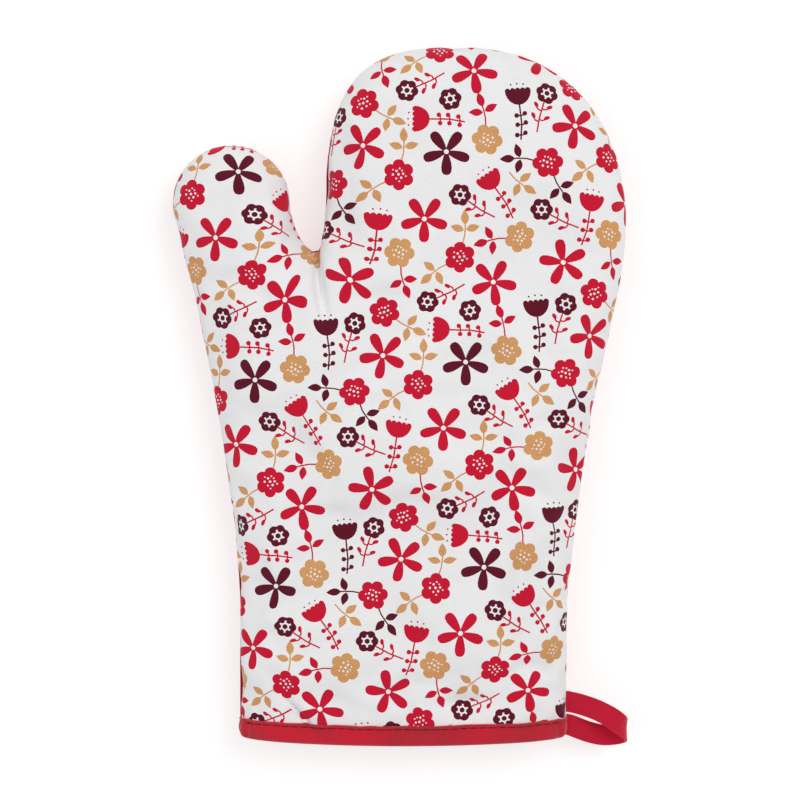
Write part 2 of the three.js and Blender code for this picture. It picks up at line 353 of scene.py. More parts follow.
class Cloth:
    """One panel's outer face. at() gives places of flat points, out() the way out of the cloth."""

    def __init__(self, side, grid, folds):
        self.side, self.grid, self.folds = side, grid, folds
        self.sign = 1 if side == "front" else -1

    def unfolded(self, flat):
        gu = (flat[:, 0] - GRID_U[0]) / GRID
        gv = (flat[:, 1] - GRID_V[0]) / GRID
        iu = np.clip(np.floor(gu).astype(int), 1, len(GRID_U) - 3)
        iv = np.clip(np.floor(gv).astype(int), 1, len(GRID_V) - 3)
        wu, wv = spline_weights(gu - iu), spline_weights(gv - iv)
        found = np.zeros((len(flat), 3))
        for j in range(4):
            for i in range(4):
                found += (wu[i] * wv[j])[:, None] * self.grid[iv + j - 1, iu + i - 1]
        return found

    def facing(self, places, flat, step=0.6):
        du = places(flat + (step, 0)) - places(flat - (step, 0))
        dv = places(flat + (0, step)) - places(flat - (0, step))
        normal = np.cross(du, dv) * self.sign
        return normal / np.maximum(np.linalg.norm(normal, axis=1), 1e-9)[:, None]

    def at(self, flat):
        pressed = folded(flat, self.folds)
        place = self.unfolded(flat)
        deep = np.abs(pressed) > LEAST_FOLD
        place[deep] -= self.facing(self.unfolded, flat[deep]) * pressed[deep, None]
        return place

    def out(self, flat):
        return self.facing(self.at, flat)

    def layer(self, flat, inside):
        """Places at a depth inside the outer face. Depth may differ from point to point."""
        return self.at(flat) - self.out(flat) * np.broadcast_to(inside, len(flat))[:, None]


def spline_weights(t):
    """Cubic B-spline weights, which smooth a little as they interpolate."""
    return ((1 - t) ** 3 / 6, (3 * t**3 - 6 * t**2 + 4) / 6,
            (-3 * t**3 + 3 * t**2 + 3 * t + 1) / 6, t**3 / 6)


# ---- flat cut pieces
def down_to_hem(cut):
    """The part of a cut line above the hem, closed straight down to the hem at both ends."""
    line = cut[CUT[:, 1] > HEM]
    return np.vstack([(line[0][0], HEM), line, (line[-1][0], HEM)])


def cut_pieces(step, trimmed=False):
    """The panel's two flat polygons, split where the thumb folds, with shared points on the split.
    The wadding and lining are trimmed back from the edge, and more so at the crotch."""
    edge = np.zeros(len(CUT))
    if trimmed:
        more = WADDING_TRIM_AT_CROTCH - WADDING_TRIM
        edge = WADDING_TRIM + more * np.exp(-(FROM_CROTCH / TRIM_REACH) ** 2)
    line = down_to_hem(CUT - CUT_OUT * edge[:, None])
    crotch = np.argmin(np.hypot(*(line - CROTCH).T))
    beyond = (line - line[crotch]) @ ACROSS_FOLD
    left = len(line) - 1
    while beyond[left] * beyond[left - 1] > 0:
        left -= 1
    hand = resample(line[:crotch + 1], step)
    thumb = resample(line[crotch:left + 1], step)
    wrist = resample(line[left:], step)
    split = resample([line[left], line[crotch]], step)
    hem = resample([line[-1], line[0]], step)
    return {
        "hand": np.vstack([hand[:-1], split[::-1][:-1], wrist[:-1], hem[:-1]]),
        "thumb": np.vstack([thumb[:-1], split[:-1]]),
    }


CREASE_STEP = 1.5
CREASE_ROWS = np.arange(-1.8, 1.9, 0.6)
# Shares of the triangles' spacing: between rows, clear of a crease, and clear of the edge.
ROW_PITCH, CREASE_CLEAR, EDGE_CLEAR = 0.87, 0.4, 0.6
MERGE = 1e-4


def crease_points(folds):
    """Extra flat points along the sharper folds, so that the triangles can follow them."""
    found = []
    for start, end, width, depth in folds:
        if abs(depth) / width < SHARP_FOLD:
            continue
        start, along = np.array(start, float), np.subtract(end, start)
        length = np.hypot(*along)
        across = np.array([-along[1], along[0]]) / length
        for t in np.arange(-1, length + 1, CREASE_STEP):
            found += [start + along * t / length + across * width * k for k in CREASE_ROWS]
    return np.array(found).reshape(-1, 2)


def triangulate(pieces, shapes, spacing, folds=()):
    """Flat triangles over the pieces with the printed shapes cut in: points, and for each piece its
    triangles with the colour of the topmost shape (0 is bare cloth)."""
    names = list(pieces)
    loops = [pieces[name] for name in names] + [shape for _, shape in shapes]
    points, rings = [], []
    for loop in loops:
        rings.append(list(range(len(points), len(points) + len(loop))))
        points.extend(map(tuple, loop))
    rows = np.arange(GRID_V[0], GRID_V[-1], spacing * ROW_PITCH)
    filling = np.array([(u + spacing / 2 * (i % 2), v) for i, v in enumerate(rows)
                        for u in np.arange(GRID_U[0], GRID_U[-1], spacing)])
    creases = crease_points(folds)
    if len(creases):
        gap = np.linalg.norm(filling[:, None] - creases, axis=2).min(1)
        filling = np.vstack([filling[gap > spacing * CREASE_CLEAR], creases])
    depth = nearest_on_cut(filling)[0]
    clear = spacing * EDGE_CLEAR
    inside = (depth > clear) & (filling[:, 1] > HEM + clear)
    points.extend(map(tuple, filling[inside]))
    vectors = [Vector(p) for p in points]
    found, _, faces, _, _, origin = delaunay_2d_cdt(vectors, [], rings, 0, MERGE)
    made = {name: ([], []) for name in names}
    for face, sources in zip(faces, origin):
        home = [s for s in sources if s < len(names)]
        if not home:
            continue
        top = max(sources)
        colour = shapes[top - len(names)][0] if top >= len(names) else 0
        triangles, colours = made[names[home[0]]]
        triangles.append(tuple(face))
        colours.append(colour)
    return np.array([tuple(p) for p in found]), made


# ---- cloth simulation
# The filling pushes each panel out against its seams. The result is spread over the panel's grid.
SIM_EDGE = 5.0
SIM_FRAMES = 20
SIM_PRESSURE = 4.0
SIM_SLACK = 0.045
SIM_CAP = 3.6
SIM_SPREAD = 2.6
SIM_SEED, SIM_BUMP = 3, 0.12
SIM_SETTINGS = {
    "quality": 6, "mass": 0.2, "tension_stiffness": 15, "compression_stiffness": 15,
    "shear_stiffness": 5, "bending_stiffness": 0.3, "use_pressure": True,
    "uniform_pressure_force": SIM_PRESSURE, "shrink_min": -SIM_SLACK,
    "vertex_group_mass": "pin",
}
FLOOR_GAP, FLOOR_SOFT = 0.1, 0.9
TAPE_ROOM, TAPE_ROOM_REACH = 2.2, 7


def place_object(name, data):
    made = bpy.data.objects.new(name, data)
    bpy.context.scene.collection.objects.link(made)
    return made


def whole_cut(step):
    line = resample(down_to_hem(CUT), step)
    return np.vstack([line[:-1], resample([line[-1], line[0]], step)[:-1]])


def simulate(name, start, faces, hold):
    """Runs Blender's cloth on a mesh in millimetres. Returns where its points come to rest."""
    mesh = bpy.data.meshes.new(name)
    mesh.from_pydata([tuple(p) for p in start / 1000], [], faces.tolist())
    made = place_object(name, mesh)
    scene = bpy.context.scene
    pin = made.vertex_groups.new(name="pin")
    for i, weight in enumerate(hold):
        pin.add([i], float(weight), "REPLACE")
    cloth = made.modifiers.new("cloth", "CLOTH")
    for setting, value in SIM_SETTINGS.items():
        setattr(cloth.settings, setting, value)
    cloth.settings.effector_weights.gravity = 0
    cloth.collision_settings.use_collision = False
    cloth.point_cache.frame_start, cloth.point_cache.frame_end = 1, SIM_FRAMES
    for step in range(1, SIM_FRAMES + 1):
        scene.frame_set(step)
    final = made.evaluated_get(bpy.context.evaluated_depsgraph_get()).to_mesh()
    rest = np.empty(len(final.vertices) * 3, np.float32)
    final.vertices.foreach_get("co", rest)
    scene.frame_set(1)
    bpy.data.objects.remove(made)
    bpy.data.meshes.remove(mesh)
    return rest.reshape(-1, 3) * 1000


def billow(cloth):
    """Moves the cloth's grid to where a simulated panel comes to rest."""
    points, parts = triangulate({"panel": whole_cut(SIM_EDGE)}, [], SIM_EDGE)
    flat, faces = compact(points, parts["panel"][0])
    depth = nearest_on_cut(flat)[0]
    hold = np.where((depth < 1) | (flat[:, 1] < BINDING_DEPTH), 1.0, 0.0)
    start = cloth.at(flat)
    bumps = np.random.default_rng(SIM_SEED).normal(0, SIM_BUMP, len(flat))
    nudged = start + cloth.out(flat) * (bumps * (1 - hold))[:, None]
    facing = faces if cloth.sign > 0 else faces[:, ::-1]
    moved = simulate(f"panel_{cloth.side}", nudged, facing, hold) - start
    moved[hold > 0] = 0
    far = np.linalg.norm(moved, axis=1)[:, None] + 1e-9
    moved *= SIM_CAP * np.tanh(far / SIM_CAP) / far
    u, v = np.meshgrid(GRID_U, GRID_V)
    grid = np.column_stack([u.ravel(), v.ravel()])
    spread = np.zeros((len(grid), 3))
    for i in range(0, len(grid), BATCH):
        gap = ((grid[i:i + BATCH, None] - flat) ** 2).sum(2)
        weight = np.exp(-gap / (2 * SIM_SPREAD**2))
        total = weight.sum(1)[:, None]
        spread[i:i + BATCH] = np.where(total > 1e-3, weight @ moved / np.maximum(total, 1e-3), 0)
    cloth.grid = cloth.grid + spread.reshape(cloth.grid.shape)


def settle(cloth):
    """Lays the back on the floor: cloth that would sink into it is pressed level."""
    x, y, z = (cloth.grid[..., i] for i in range(3))
    under_tape = smooth((BINDING_DEPTH + TAPE_ROOM_REACH - y) / TAPE_ROOM_REACH)
    floor = FLOOR_Z + FLOOR_GAP + TAPE_ROOM * under_tape
    level = floor + FLOOR_SOFT * np.logaddexp(0, (z - floor) / FLOOR_SOFT)
    cloth.grid = np.stack([x, y, level], -1)


def compact(points, triangles):
    used, index = np.unique(np.array(triangles), return_inverse=True)
    return points[used], index.reshape(-1, 3)


def rim_edges(triangles):
    """Directed edges that only one triangle has."""
    seen = {}
    for a, b, c in triangles:
        for edge in ((a, b), (b, c), (c, a)):
            seen[edge] = True
    return [(a, b) for a, b in seen if (b, a) not in seen]


# ---- mesh objects
def to_frame(points):
    return (np.asarray(points, float) + ORIGIN) / 1000


def make_object(name, points, faces, materials, indices=None, flat=None):
    mesh = bpy.data.meshes.new(name)
    mesh.from_pydata([tuple(p) for p in to_frame(points)], [], [tuple(map(int, f)) for f in faces])
    for material in materials:
        mesh.materials.append(material)
    if indices is not None:
        mesh.polygons.foreach_set("material_index", np.asarray(indices, np.int32))
    if flat is not None:
        layer = mesh.uv_layers.new(name="cloth")
        corners = np.empty(len(mesh.loops), np.int32)
        mesh.loops.foreach_get("vertex_index", corners)
        uv = np.asarray(flat, float)[corners] / 1000
        layer.data.foreach_set("uv", uv.astype(np.float32).ravel())
    mesh.polygons.foreach_set("use_smooth", np.ones(len(mesh.polygons), bool))
    mesh.validate()
    mesh.update()
    return place_object(name, mesh)


def layer_object(name, cloth, flat, triangles, colours, depths, materials):
    """A closed layer of cloth: its outer and inner faces, and a strip round the edge. The layers
    under the shell lie deeper beside a valley fold, so that they don't come through it."""
    flat, triangles = compact(flat, triangles)
    count = len(flat)
    slack = np.zeros(count)
    if depths[0] > 0:
        valleys = [fold for fold in cloth.folds if fold[3] > 0]
        slack = np.maximum(folded(flat, valleys, FOLD_REACH) - folded(flat, valleys), 0)
    outer, inner = (cloth.layer(flat, depth + slack) for depth in depths)
    facing = triangles if cloth.sign > 0 else triangles[:, ::-1]
    back = facing[:, ::-1] + count
    strip = [(b, a, a + count, b + count) for a, b in rim_edges(facing)]
    faces = [*facing.tolist(), *back.tolist(), *strip]
    indices = [*colours, *([0] * (len(back) + len(strip)))]
    places, flat = np.vstack([outer, inner]), np.vstack([flat, flat])
    made = make_object(name, places, faces, materials, indices, flat)
    out = cloth.out(flat[:count])
    normals = np.zeros((len(made.data.loops), 3))
    normals[:facing.size] = out[facing.ravel()]
    normals[facing.size:2 * facing.size] = -out[facing[:, ::-1].ravel()]
    made.data.normals_split_custom_set(normals.tolist())
    return made


def sweep(sections):
    """Points and faces of a body swept through sections with equal numbers of points."""
    sections = [np.asarray(s, float) for s in sections]
    n = len(sections[0])
    faces = []
    for row in range(len(sections) - 1):
        for i in range(n):
            j = (i + 1) % n
            faces.append((row * n + i, row * n + j, (row + 1) * n + j, (row + 1) * n + i))
    faces.append(tuple(range(n))[::-1])
    faces.append(tuple(range((len(sections) - 1) * n, len(sections) * n)))
    return np.vstack(sections), faces


def ring(centre, radius, across, up, sides):
    """One section of a round thread."""
    return [centre + radius * (math.cos(a) * across + math.sin(a) * up)
            for a in np.arange(sides) * math.pi / (sides / 2)]


def face_out(made):
    shape = bmesh.new()
    shape.from_mesh(made.data)
    bmesh.ops.recalc_face_normals(shape, faces=shape.faces)
    shape.to_mesh(made.data)
    shape.free()
    made.data.update()


# ---- materials
def new_material(name):
    material = bpy.data.materials.new(name)
    material.use_nodes = True
    nodes = material.node_tree.nodes
    nodes.clear()
    return material, nodes, material.node_tree.links


def node(nodes, kind, **values):
    made = nodes.new(kind)
    for name, value in values.items():
        if name in made.inputs.keys():
            made.inputs[name].default_value = value
        else:
            setattr(made, name, value)
    return made


def wave_scale(pitch_mm):
    """Wave texture scale for bands this far apart, for coordinates in metres."""
    return 2 * math.pi / 20 * 1000 / pitch_mm


def linear(r, g, b):
    """An sRGB colour of 0 to 255 as linear values."""
    return tuple(((c / 255 + 0.055) / 1.055) ** 2.4 if c > 10 else c / 255 / 12.92
                 for c in (r, g, b))


def cloth_material(name, colour, shade, pitch=0.86, angle=57, contrast=0.8, bump=0.5, sheen=0.12,
                   patchy=0.5):
    """Woven cotton: twill lines crossed by finer threads, slow colour drift and short fuzz.
    The pitch of the lines is in millimetres, and colour and shade are sRGB."""
    material, nodes, links = new_material(name)
    out = nodes.new("ShaderNodeOutputMaterial")
    shader = node(nodes, "ShaderNodeBsdfPrincipled", **{
        "Roughness": 0.88, "Sheen Weight": sheen, "Sheen Roughness": 0.5,
        "Specular IOR Level": 0.2})
    links.new(shader.outputs["BSDF"], out.inputs["Surface"])
    place = node(nodes, "ShaderNodeUVMap", uv_map="cloth").outputs["UV"]
    turn = node(nodes, "ShaderNodeMapping", Rotation=(0, 0, math.radians(angle)))
    links.new(place, turn.inputs["Vector"])
    wale = node(nodes, "ShaderNodeTexWave", Scale=wave_scale(pitch), Distortion=0.5, Detail=1.0)
    links.new(turn.outputs["Vector"], wale.inputs["Vector"])
    cross = node(nodes, "ShaderNodeTexWave", bands_direction="Y", Scale=wave_scale(pitch * 0.6),
                 Distortion=0.8, Detail=1.0)
    links.new(place, cross.inputs["Vector"])
    drift = node(nodes, "ShaderNodeTexNoise", Scale=45, Detail=3)
    links.new(place, drift.inputs["Vector"])
    fuzz = node(nodes, "ShaderNodeTexNoise", Scale=1500, Detail=2)
    links.new(place, fuzz.inputs["Vector"])
    threads = node(nodes, "ShaderNodeMix", Factor=0.42)
    links.new(wale.outputs["Fac"], threads.inputs["A"])
    links.new(cross.outputs["Fac"], threads.inputs["B"])
    height = node(nodes, "ShaderNodeMix", Factor=0.25)
    links.new(threads.outputs["Result"], height.inputs["A"])
    links.new(fuzz.outputs["Fac"], height.inputs["B"])
    middle = 0.75 - patchy / 2
    grain = node(nodes, "ShaderNodeMapRange", **{
        "From Min": 0.2, "From Max": 0.8,
        "To Min": middle - contrast / 2, "To Max": middle + contrast / 2})
    links.new(height.outputs["Result"], grain.inputs["Value"])
    tone = node(nodes, "ShaderNodeMath", operation="MULTIPLY_ADD", use_clamp=True)
    tone.inputs[1].default_value = patchy
    links.new(drift.outputs["Fac"], tone.inputs[0])
    links.new(grain.outputs["Result"], tone.inputs[2])
    mix = node(nodes, "ShaderNodeMix", data_type="RGBA")
    mix.inputs["A"].default_value = (*linear(*shade), 1)
    mix.inputs["B"].default_value = (*linear(*colour), 1)
    links.new(tone.outputs["Value"], mix.inputs["Factor"])
    links.new(mix.outputs["Result"], shader.inputs["Base Color"])
    relief = node(nodes, "ShaderNodeBump", Strength=bump, Distance=0.00016)
    links.new(height.outputs["Result"], relief.inputs["Height"])
    links.new(relief.outputs["Normal"], shader.inputs["Normal"])
    return material


# ---- the printed pattern
GROUND, RED, BURGUNDY, TAN = range(4)
REPEAT = 88.0
PRINT_TURN = math.radians(5)
PRINT_SEED = 25
SHUFFLES = 1400
FIRST_SWELL, LAST_SWELL = 2.2, 1.12
PUSH_STEP, TWIST_STEP, ALIKE_STEP = 0.12, 0.0016, 0.02
ALIKE_SPACING = 0.8
PRINT_ORIGIN = (4, 120)
PRINT_REACH, PRINT_MARGIN = 19, 16
STEM = 0.65


def turned(points, angle, shift=(0, 0)):
    c, s = math.cos(angle), math.sin(angle)
    points = np.asarray(points, float)
    return np.column_stack([points[:, 0] * c - points[:, 1] * s + shift[0],
                            points[:, 0] * s + points[:, 1] * c + shift[1]])


def disc(radius, centre=(0, 0), sides=10):
    return arc(centre, radius, 0, 2 * math.pi * (sides - 1) / sides, sides - 1)


def lobed(radius, lobes, depth, sides=40):
    """A round flower head with scalloped edge."""
    t = np.arange(sides) * 2 * math.pi / sides
    r = radius - depth + depth * np.abs(np.cos(t * lobes / 2)) ** 0.7
    return np.column_stack([r * np.cos(t), r * np.sin(t)])


def petal(start, length, width, sides=16):
    """A club-shaped petal along +y, widest and blunt near its outer end."""
    t = np.arange(sides) * 2 * math.pi / sides
    out = (1 - np.cos(t)) / 2
    half = width / 2 * np.sign(np.sin(t)) * np.abs(np.sin(t)) ** 0.8 * (0.42 + 0.72 * out)
    return np.column_stack([half, start + length * out])


def leaf(start, length, width):
    """A leaf along +y with pointed ends."""
    s = np.linspace(0, 1, 7)
    half = width / 2 * np.sin(math.pi * s**0.85)
    edge = np.column_stack([half, start + length * s])
    return np.vstack([edge, (edge * (-1, 1))[1:-1][::-1]])


def stroke(points, width):
    """A line of the given width through a few points."""
    points = np.asarray(points, float)
    side = outward(points) * width / 2
    return np.vstack([points + side, (points - side)[::-1]])


def curl(y, side, reach, lift=2.2):
    """A short arm to one side of a stem, with a drop at its end."""
    arm = [(0, y), (side * reach * 0.55, y + 0.1), (side * reach, y + lift * 0.45)]
    end = (side * (reach + 0.3), y + lift * 0.8)
    return [stroke(arm, STEM), turned(disc(1.0, sides=9) * (0.8, 1.35), -side * 0.9, end)]


def daisy(colour, length=9.9, width=5.0, eye=1.05):
    petals = [(colour, turned(petal(0, length, width), i * 2 * math.pi / 5)) for i in range(5)]
    return [*petals, (GROUND, disc(eye))]


# The blossom's dots: x, y and radius.
DOTS = [(0.2, 0.1, 0.55), (1.6, 0.9, 0.5), (-1.5, 1.0, 0.42), (0.4, -1.8, 0.5), (-1.2, -1.0, 0.5),
        (2.6, -0.4, 0.38), (1.7, -1.4, 0.35), (0.1, 2.4, 0.5), (-2.7, -0.2, 0.35),
        (-0.6, -2.9, 0.36), (2.1, 2.3, 0.34)]


def blossom(colour, radius=6.4, scallop=1.5):
    dots = [(GROUND, disc(r, (x, y), 7)) for x, y, r in DOTS]
    return [(colour, lobed(radius, 6, scallop, 48)), *dots]


def rosette(colour, radius=4.7, scallop=1.0, star=2.6, ray=0.75, middle=1.8, eye=1.1):
    rays = [(GROUND, turned(stroke([(0, 0), (0, star)], ray), i * math.pi / 3)) for i in range(6)]
    return [(colour, lobed(radius, 6, scallop, 42)), (GROUND, disc(middle)), *rays,
            (colour, disc(eye))]


def rosette_on_stem(colour):
    head = [(c, turned(p, 0, (0, 6.0))) for c, p in rosette(colour)]
    stem = [stroke([(0, 2), (0.4, -5), (1.5, -11)], STEM)]
    for y, x in ((-1.2, 0.1), (-5.8, 0.5)):
        for side in (-1, 1):
            stem += [part + (x, 0) for part in curl(y - 0.8 * (side < 0), side, 2.5)]
    return [*((RED, part) for part in stem), *head]


def tulip(colour):
    t = np.linspace(-math.pi, 0, 13)
    bowl = np.column_stack([5.4 * np.cos(t), 9.3 + 6.4 * np.sin(t)])
    t = np.linspace(0.2, math.pi - 0.2, 5)
    scallop = np.column_stack([1.05 * np.cos(t), 9.2 + 0.95 * np.sin(t)])
    cup = np.vstack([bowl, *(scallop + (x, 0) for x in (4.2, 2.1, 0, -2.1, -4.2))])
    dots = [(colour, disc(0.42, (x, 11.9 - abs(x) * 0.12), 6)) for x in (-2.6, 0, 2.6)]
    parts = [(colour, stroke([(0, 4), (0.1, -5), (-0.9, -11.5)], STEM))]
    for y, x in ((-1.6, 0.1), (-5.4, 0.1), (-9.6, -0.5)):
        for side in (-1, 1):
            parts.append((colour, stroke([(x, y), (x + side * 1.2, y + 0.3)], 0.6)))
            parts.append((colour, disc(1.0, (x + side * 1.7, y + 0.5 + 0.3 * side), 9)))
    return [*parts, (colour, cup), *dots]


def sprig(colour):
    stem = [(0, -6.5), (0.3, -3), (0, 0), (-0.4, 2.2)]
    return [(colour, stroke(stem, 0.6)), (colour, turned(leaf(0, 6.3, 3.3), 0.2, (-0.3, 1.6))),
            (colour, turned(leaf(0.4, 5.9, 3.1), 1.45, (0, -0.7))),
            (colour, turned(leaf(0.4, 5.9, 3.1), -1.15, (0, -0.4)))]


def posy(colour, leaves, *directions):
    """A blossom with sprigs growing out of it."""
    parts = []
    for way in directions:
        lift = turned([(0, 11.9)], way)[0]
        parts += [(c, turned(p, way, lift)) for c, p in sprig(leaves)]
    return [*parts, *blossom(colour)]


def posy_discs(*directions):
    reach = [(0, 0, 6.6)]
    for way in directions:
        reach.append((*turned([(0, 12.9)], way)[0], 4.6))
    return reach


# How many of each in one repeat, how to draw it, and the discs that keep it clear of the others.
# A disc is x, y and radius.
STEM_DISCS = [(0, 6, 4.9), (0.2, -1.5, 3.5), (0.8, -7.5, 3.6)]
TULIP_DISCS = [(0, 7.2, 5.9), (0, -2, 2.8), (-0.4, -8, 3.2)]
LEFT_RIGHT, ACROSS, ONE = (0.5, -1.75), (1.4, -0.75), (1.3,)
MOTIFS = [
    (4, daisy, (RED,), [(0, 0, 8.9)]),
    (1, daisy, (BURGUNDY,), [(0, 0, 8.9)]),
    (2, posy, (RED, TAN, *LEFT_RIGHT), posy_discs(*LEFT_RIGHT)),
    (1, posy, (RED, BURGUNDY, *ACROSS), posy_discs(*ACROSS)),
    (1, posy, (RED, TAN, *ONE), posy_discs(*ONE)),
    (3, posy, (TAN, RED, *ONE), posy_discs(*ONE)),
    (1, sprig, (TAN,), [(0, 1.5, 4.9), (0.2, -4, 1.8)]),
    (4, rosette_on_stem, (BURGUNDY,), STEM_DISCS),
    (1, rosette, (BURGUNDY,), [(0, 0, 5.0)]),
    (3, tulip, (RED,), TULIP_DISCS),
    (1, tulip, (BURGUNDY,), TULIP_DISCS),
]


def scatter():
    """Places the motifs of one repeat: discs push each other apart, and so do motifs of a kind."""
    dice = random.Random(PRINT_SEED)
    motifs = [(draw, with_, discs) for count, draw, with_, discs in MOTIFS for _ in range(count)]
    place = np.array([(dice.random() * REPEAT, dice.random() * REPEAT) for _ in motifs])
    angle = np.array([dice.random() * 2 * math.pi for _ in motifs])
    owner = np.array([i for i, m in enumerate(motifs) for _ in m[2]])
    local = np.array([d[:2] for m in motifs for d in m[2]])
    radius = np.array([d[2] for m in motifs for d in m[2]])
    strangers = owner[:, None] != owner[None]
    kind = np.array([[a[0] is b[0] for b in motifs] for a in motifs])
    alike = kind * REPEAT / np.sqrt(kind.sum(1))[:, None] * ALIKE_SPACING
    for turn in range(SHUFFLES):
        keen = 1.5 - turn / SHUFFLES
        swell = FIRST_SWELL + (LAST_SWELL - FIRST_SWELL) * min(1, 1.2 * turn / SHUFFLES)
        c, s = np.cos(angle[owner]), np.sin(angle[owner])
        arm = np.column_stack([local[:, 0] * c - local[:, 1] * s,
                               local[:, 0] * s + local[:, 1] * c])
        push = apart(place[owner] + arm, swell * (radius[:, None] + radius[None]) * strangers)
        twist = arm[:, 0] * push[:, 1] - arm[:, 1] * push[:, 0]
        np.add.at(place, owner, push * PUSH_STEP * keen)
        np.add.at(angle, owner, twist * TWIST_STEP * keen)
        place += apart(place, alike) * ALIKE_STEP * (keen - 0.5)
    return [(draw, with_, *place[i], angle[i]) for i, (draw, with_, _) in enumerate(motifs)]


def apart(at, reach):
    """How far to push points that repeat every REPEAT, to be the given distances apart."""
    gap = at[:, None] - at[None]
    gap -= REPEAT * np.round(gap / REPEAT)
    far = np.linalg.norm(gap, axis=2) + 1e-9
    return (gap / far[..., None] * np.maximum(reach - far, 0)[..., None]).sum(1)


def printed_shapes():
    """All (colour, polygon) that fall on the panel, in drawing order."""
    shapes = []
    motifs = scatter()
    reach = range(-3, 4)
    low, high = CUT.min(0) - PRINT_MARGIN, CUT.max(0) + PRINT_MARGIN
    for i in reach:
        for j in reach:
            for draw, given, x, y, angle in motifs:
                spot = turned([(x + i * REPEAT, y + j * REPEAT)], PRINT_TURN)[0] + PRINT_ORIGIN
                if (spot < low).any() or (spot > high).any():
                    continue
                if nearest_on_cut(spot[None])[0][0] < -PRINT_REACH:
                    continue
                shapes += [(c, turned(p, angle + PRINT_TURN, spot)) for c, p in draw(*given)]
    return shapes


CAD_SHARE = {"hand": ("palm", "fingers"), "thumb": ("thumb",)}
FINE_STEP, COARSE_STEP = 2.6, 5.0


def bend_with(piece):
    """Bakes the piece's transform into its mesh."""
    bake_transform(piece)


def add_panels(cloths, materials):
    coarse, fine = cut_pieces(COARSE_STEP, trimmed=True), cut_pieces(FINE_STEP)
    jobs = [
        ("shell", "front", fine, printed_shapes(), 3.0, SHELL, materials["print"],
         "printed_cotton"),
        ("shell", "back", fine, [], 3.2, SHELL, [materials["red"]], "red_cotton"),
    ]
    for layer, depths in (("wadding", WADDING), ("lining", LINING)):
        jobs += [(layer, side, coarse, [], COARSE_STEP, depths, [materials[layer]], layer)
                 for side in FOLDS]
    for layer, side, loops, shapes, spacing, depths, finish, slot in jobs:
        points, parts = triangulate(loops, shapes, spacing, FOLDS[side])
        for part, (triangles, colours) in parts.items():
            name = f"{layer}_{side}_{part}_cloth"
            piece = layer_object(name, cloths[side], points, triangles, colours, depths, finish)
            bend_with(piece)
            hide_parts(*(f"{layer}_{side}_{body}" for body in CAD_SHARE[part]))


# ---- binding, threads and loop
STITCH_PITCH = 4.0
STITCH_IN = 1.95
STITCH_RADIUS, SEAM_THREAD_RADIUS = 0.24, 0.17
SEAM_THREAD_IN = 2.9
RIM_U = SEAM_X + TURN_DOWN
STATIONS = np.linspace(-RIM_U + 0.05, RIM_U - 0.05, round(2 * RIM_U) + 1)
# The tape is thinner towards its ends, and a lump with a notch beside it marks the turned corner:
# how much thinner or taller, how far in from the end, and over what length.
END_THIN = (0.7, 7.5, 7)
END_LUMPS = [(0.6, 8.0, 1.3), (-0.8, 10.4, 0.9)]


def pucker(u):
    """How tightly the topstitch pulls, from 0 between stitches to 1 at a needle hole."""
    return 0.5 + 0.5 * np.cos(2 * math.pi * u / STITCH_PITCH)


def binding_section(u):
    """(v, height over the shell) round the folded tape at one place along the cuff."""
    pull = float(pucker(u))
    wave = 0.18 * math.sin(u * 0.31) + 0.12 * math.sin(u * 0.83 + 1)
    inside = RIM_U - abs(u)
    share, start, over = END_THIN
    thin = 1 - share * float(smooth((start - inside) / over))
    ridge = sum(tall * math.exp(-((inside - at) / over) ** 2) for tall, at, over in END_LUMPS)
    top = BINDING_DEPTH - 0.6 + 0.15 * wave
    section = [
        (top - 0.5, 0.12), (top + 0.1, 0.25), (top + 0.25, 0.8), (top - 0.05, 1.35),
        (top - 0.55, 1.5), (top - 0.95, 1.0 - 0.4 * pull), (top - 1.35, 0.45 - 0.35 * pull),
        (top - 1.85, 0.85 - 0.5 * pull), (top - 2.7, 1.4 - 0.4 * pull), (top - 3.8, 1.65 + wave),
        (top - 5.4, 1.75 + wave), (1.6, 1.65 + 0.6 * wave), (0.6, 1.35), (0.05, 0.5),
        (-0.25, -0.8), (-0.35, -2.6), (-0.45, -4.4), (-0.1, -6.0), (0.6, -6.9), (2.0, -7.15),
        (5.0, -7.1 + wave), (top - 1.8, -6.9), (top - 1.35, -6.6), (top - 0.9, -6.95),
        (top - 0.2, -6.85), (top, -6.4), (top - 0.4, -5.75), (4.0, -5.68), (1.3, -5.68),
        (1.25, 0.1), (4.0, 0.1),
    ]
    return np.array([(v, (k + ridge) * thin if k > 0.12 else k) for v, k in section])


def add_binding(cloth, material, thread):
    side = cloth.side
    sections = []
    for u in STATIONS:
        shape = binding_section(u)
        flat = np.column_stack([np.full(len(shape), u), shape[:, 0]])
        sections.append(cloth.layer(flat, -shape[:, 1]))
    points, faces = sweep(sections)
    shape = binding_section(0)
    around = np.r_[0, np.cumsum(np.hypot(*np.diff(shape, axis=0).T))]
    flat = np.array([(u, a) for u in STATIONS for a in around])
    piece = make_object(f"binding_{side}_tape", points, faces, [material], flat=flat)
    face_out(piece)
    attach(piece, "palm")
    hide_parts(f"binding_{side}")
    add_stitches(cloth, thread)


